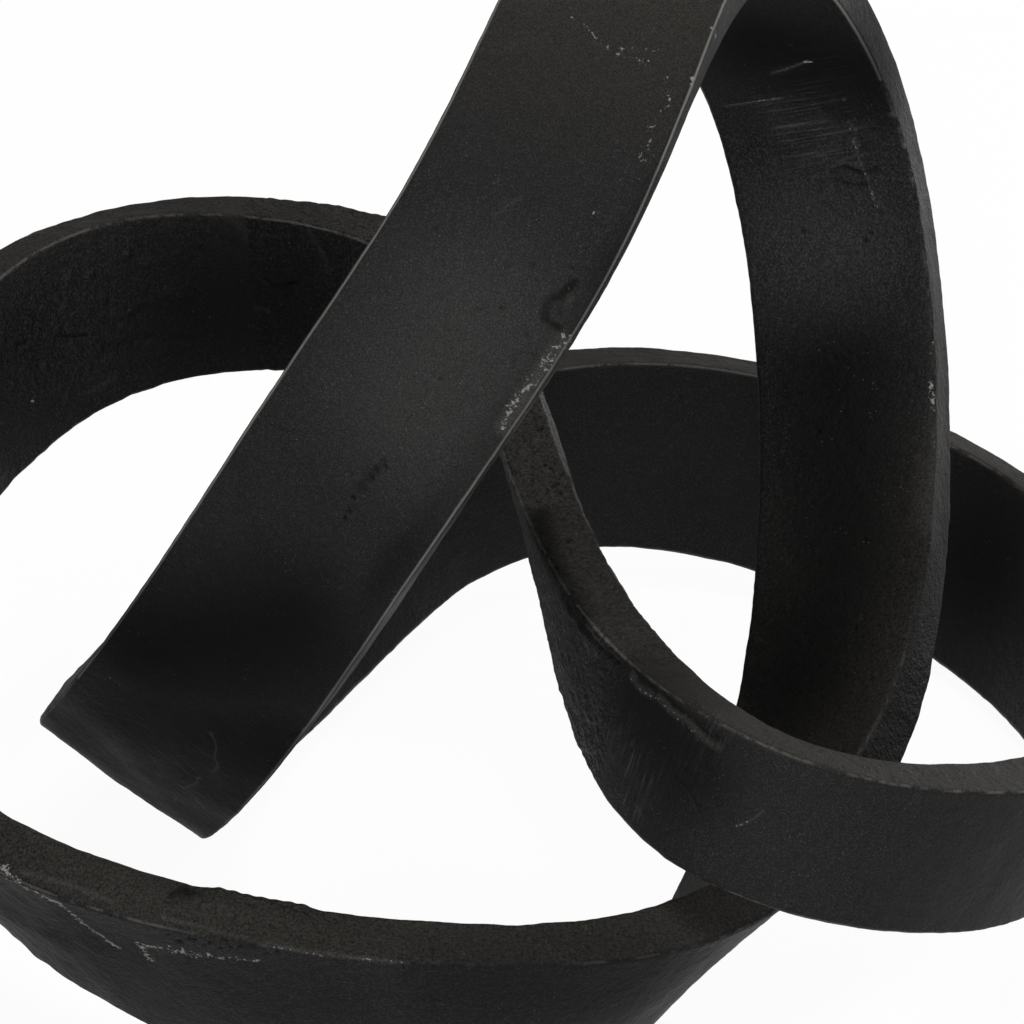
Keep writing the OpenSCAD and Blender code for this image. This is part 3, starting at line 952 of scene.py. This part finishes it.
def finish(name, peel, clouds, edge_wear_and_highlight, coarse):
    """Black matte coat on cast metal, with painted shade and sheen from marks and patches. peel: how
    strongly the sand grain stands out; clouds: how uneven its tone is; the next: how much the corners are
    lightened, by wear and by painted edge highlight; coarse: how large the grain is. Brown dust lies on top."""
    mat = bpy.data.materials.new(name)
    tree = blank_tree(mat)
    add = lambda kind, settings=(), inputs=(), output=0: node_of(tree, kind, settings, inputs, output)
    here = add("ShaderNodeTexCoord", output="Object")
    bar = add("ShaderNodeUVMap", {"uv_map": "along_bar"})
    mark = lambda n: add("ShaderNodeAttribute", {"attribute_name": n}, output="Fac")
    speck = lambda scale, detail=2.0, rough=0.5: add(
        "ShaderNodeTexNoise", {}, {"Vector": here, "Scale": scale, "Detail": detail, "Roughness": rough})
    up = add("ShaderNodeSeparateXYZ", {}, (add("ShaderNodeNewGeometry", output="Normal"),), output="Z")

    # grain of several sizes; a scale of 1000 has forms of about a millimetre
    mottle = speck(60, 4.0, 0.6).ramp(0.3, 0.7)
    sand = speck(800, 2.0, 0.6)
    grit = speck(4200 / coarse, 1.5, 0.75)
    dust = speck(3400 / coarse, 2.0, 0.7)
    crumbs = speck(1500, 3.0, 0.75)
    pinholes = add("ShaderNodeTexVoronoi", {"feature": "F1"}, {"Vector": here, "Scale": 1300.0})
    glints = pinholes.ramp(0.10, 0.2, 1.0, 0.0) * speck(300, 2.0).ramp(0.56, 0.66)

    # strokes of the grinding disc, across the bar
    stretched = add("ShaderNodeVectorMath", {"operation": "MULTIPLY"},
                    (bar, (STROKES_ACROSS, STROKES_ALONG, 1.0)))
    strokes = add("ShaderNodeTexNoise", {}, {
        "Vector": stretched, "Scale": 1.0, "Detail": 2.0, "Roughness": 0.6})
    ground = mark("ground") * speck(110, 2.0).ramp(0.35, 0.65)
    brushed = strokes.ramp(0.48, 0.74) * ground

    # what lies on the coat, where it is worn through, painted shade, and painted sheen and edge highlight
    # painted shade: the coat darker and rougher there, with less dust and lighter corners
    painted_shade = mark("painted_shade")
    wear_and_sheen = mark("wear_and_sheen") * grit.ramp(0.25, 0.7, 0.3, 1.0)
    patchy = speck(200, 4.0, 0.7).ramp(0.56 - 0.22 * edge_wear_and_highlight, 0.7 - 0.22 * edge_wear_and_highlight)
    # corners lightened: worn metal, and painted edge highlight where the lamps catch the rounding
    paler = mark("corner").ramp(0.35, 0.9) * patchy * (1 - painted_shade * 0.75)
    bare = (mark("bare") + (crumbs - 0.5) * 2.0).ramp(0.54, 0.68)
    brown = up.ramp(0.3, 0.95) * dust.ramp(0.32, 0.68) * (1 - painted_shade * 0.85)

    tone = blend_colours(tree, mottle * clouds, DEEP_BLACK, COAT_BLACK)
    tone = blend_colours(tree, grit.ramp(0.46, 0.68) * 0.9, tone, GRIT_TOPS)
    tone = blend_colours(tree, brushed * 0.45, tone, BRUSHED_GREY)
    # painted shade
    tone = blend_colours(tree, painted_shade * 0.9, tone, PAINTED_SHADE_BLACK)
    tone = blend_colours(tree, brown * 0.7, tone, DUST_BROWN)
    # lighter grey for worn places and for painted sheen
    tone = blend_colours(tree, wear_and_sheen, tone, WEAR_AND_SHEEN_GREY)
    tone = blend_colours(tree, paler * (0.5 * edge_wear_and_highlight), tone, EDGE_WEAR_AND_HIGHLIGHT)
    tone = blend_colours(tree, glints * 0.35, tone, GLINT_METAL)
    tone = blend_colours(tree, bare, tone, BARE_METAL)

    rough = mottle.ramp(0, 1, 0.5, 0.6) - brushed.least(1.0) * 0.1 - paler * 0.08 + painted_shade * 0.28
    relief = sand * peel + grit * (0.4 * peel) + dust * 0.25 + strokes * ground * 0.5 - bare * 0.4
    bump = add("ShaderNodeBump", {}, {"Strength": 1.0, "Distance": RELIEF_DEPTH, "Height": relief})
    shader = add("ShaderNodeBsdfPrincipled", {}, {
        "Base Color": tone, "Roughness": rough, "Metallic": 0.0, "IOR": 1.5, "Specular IOR Level": 0.1,
        "Normal": bump})
    add("ShaderNodeOutputMaterial", {}, {"Surface": shader})
    return mat


def dress(piece, mat):
    """Gives the piece this one material."""
    piece.data.materials.clear()
    piece.data.materials.append(mat)


smooth_cast = finish("black_smooth_cast", peel=0.5, clouds=0.6, edge_wear_and_highlight=1.8, coarse=1.0)
plain_cast = finish("black_plain_cast", peel=0.5, clouds=0.8, edge_wear_and_highlight=0.7, coarse=1.0)
sandy_cast = finish("black_sandy_cast", peel=0.6, clouds=1.0, edge_wear_and_highlight=0.35, coarse=1.6)
rough_cast = finish("black_rough_cast", peel=1.0, clouds=0.8, edge_wear_and_highlight=0.6, coarse=1.5)
gritty_cast = finish("black_gritty_cast", peel=1.7, clouds=1.0, edge_wear_and_highlight=0.9, coarse=2.3)
ground_weld = finish("black_ground_weld", peel=0.5, clouds=0.8, edge_wear_and_highlight=0.6, coarse=1.2)
COATS = {
    "arch_strap": smooth_cast,
    "front_run": plain_cast,
    "heel_run": plain_cast,
    "fold_riser": sandy_cast,
    "left_loop": rough_cast,
    "crossover": gritty_cast,
}
for node, piece in cast.items():
    mat = COATS.get(node, ground_weld)
    dress(piece, mat)
    dress(cad_nodes[node], mat)
    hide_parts(node)
    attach(piece, "root")


# Studio

FLOOR_SIZE = 6
PALE = (0.9, 0.9, 0.9, 1.0)
WHITE = (1.0, 1.0, 1.0, 1.0)
WHITE_SHARE = 0.95
AIR_STRENGTH = 0.1


def seen_white(tree):
    """1 for what the camera sees, also in a reflection or through glass, and 0 for all other light."""
    path = tree.nodes.new("ShaderNodeLightPath")
    wire = lambda name: Wire(tree, path.outputs[name])
    return wire("Is Camera Ray").most(wire("Is Glossy Ray")).most(wire("Is Transmission Ray"))


def pale_floor():
    """A plain floor that is nearly white to the camera and keeps a little of the knot's shadow."""
    mat = bpy.data.materials.new("pale_floor")
    tree = blank_tree(mat)
    pale = node_of(tree, "ShaderNodeBsdfDiffuse", {}, {"Color": PALE})
    white = node_of(tree, "ShaderNodeEmission", {}, {"Color": WHITE, "Strength": 1.0})
    both = node_of(tree, "ShaderNodeMixShader", {}, (seen_white(tree) * WHITE_SHARE, pale, white))
    node_of(tree, "ShaderNodeOutputMaterial", {}, {"Surface": both})
    return mat


bpy.ops.object.select_all(action="DESELECT")
bpy.ops.mesh.primitive_plane_add(size=FLOOR_SIZE, location=(0, 0, 0))
floor = bpy.context.active_object
floor.name = "studio_floor"
dress(floor, pale_floor())

world = bpy.data.worlds.new("studio_air")
bpy.context.scene.world = world
air_tree = blank_tree(world)
air = node_of(air_tree, "ShaderNodeBackground", {}, {"Color": WHITE, "Strength": AIR_STRENGTH})
node_of(air_tree, "ShaderNodeOutputWorld", {}, {"Surface": air})

LAMP_DISTANCE = 1.15
LAMP_SIZE = 0.55
LIT_PLACE = Vector((0, 0, 0.07))


def soft_lamp(name, azimuth, elevation, watts):
    """A square soft box turned to the knot; azimuth 0 is the viewer's side, 90 the right."""
    a, e = math.radians(azimuth), math.radians(elevation)
    way = Vector((math.sin(a) * math.cos(e), -math.cos(a) * math.cos(e), math.sin(e)))
    place = LIT_PLACE + LAMP_DISTANCE * way
    bpy.ops.object.light_add(type="AREA", location=place)
    lamp = bpy.context.active_object
    lamp.name = name
    lamp.data.shape = "SQUARE"
    lamp.data.size = LAMP_SIZE
    lamp.data.energy = watts
    lamp.rotation_euler = (LIT_PLACE - place).to_track_quat("-Z", "Y").to_euler()


soft_lamp("lamp_front", azimuth=0, elevation=12, watts=7.5)
soft_lamp("lamp_left", azimuth=315, elevation=12, watts=2.2)
soft_lamp("lamp_back_right", azimuth=135, elevation=12, watts=5.2)
soft_lamp("lamp_high_right", azimuth=45, elevation=45, watts=4)
soft_lamp("lamp_high_back", azimuth=180, elevation=45, watts=2.6)
soft_lamp("lamp_top", azimuth=0, elevation=85, watts=5.7)

# Camera: on the photograph's side, looking down on the knot from just over a metre away
LEAN = math.radians(23.6)
AIM = Vector((-0.27, 1.94, 56.82)) * MM
EYE_DISTANCE = 1.15
LENS = 242.58
SIGHT_END = 20
bpy.ops.object.camera_add(location=AIM + EYE_DISTANCE * Vector((0, -math.cos(LEAN), math.sin(LEAN))),
                          rotation=(math.pi / 2 - LEAN, 0, 0))
camera = bpy.context.active_object
camera.data.lens = LENS
camera.data.clip_end = SIGHT_END
bpy.context.scene.camera = camera
bpy.context.scene.view_settings.view_transform = "Standard"
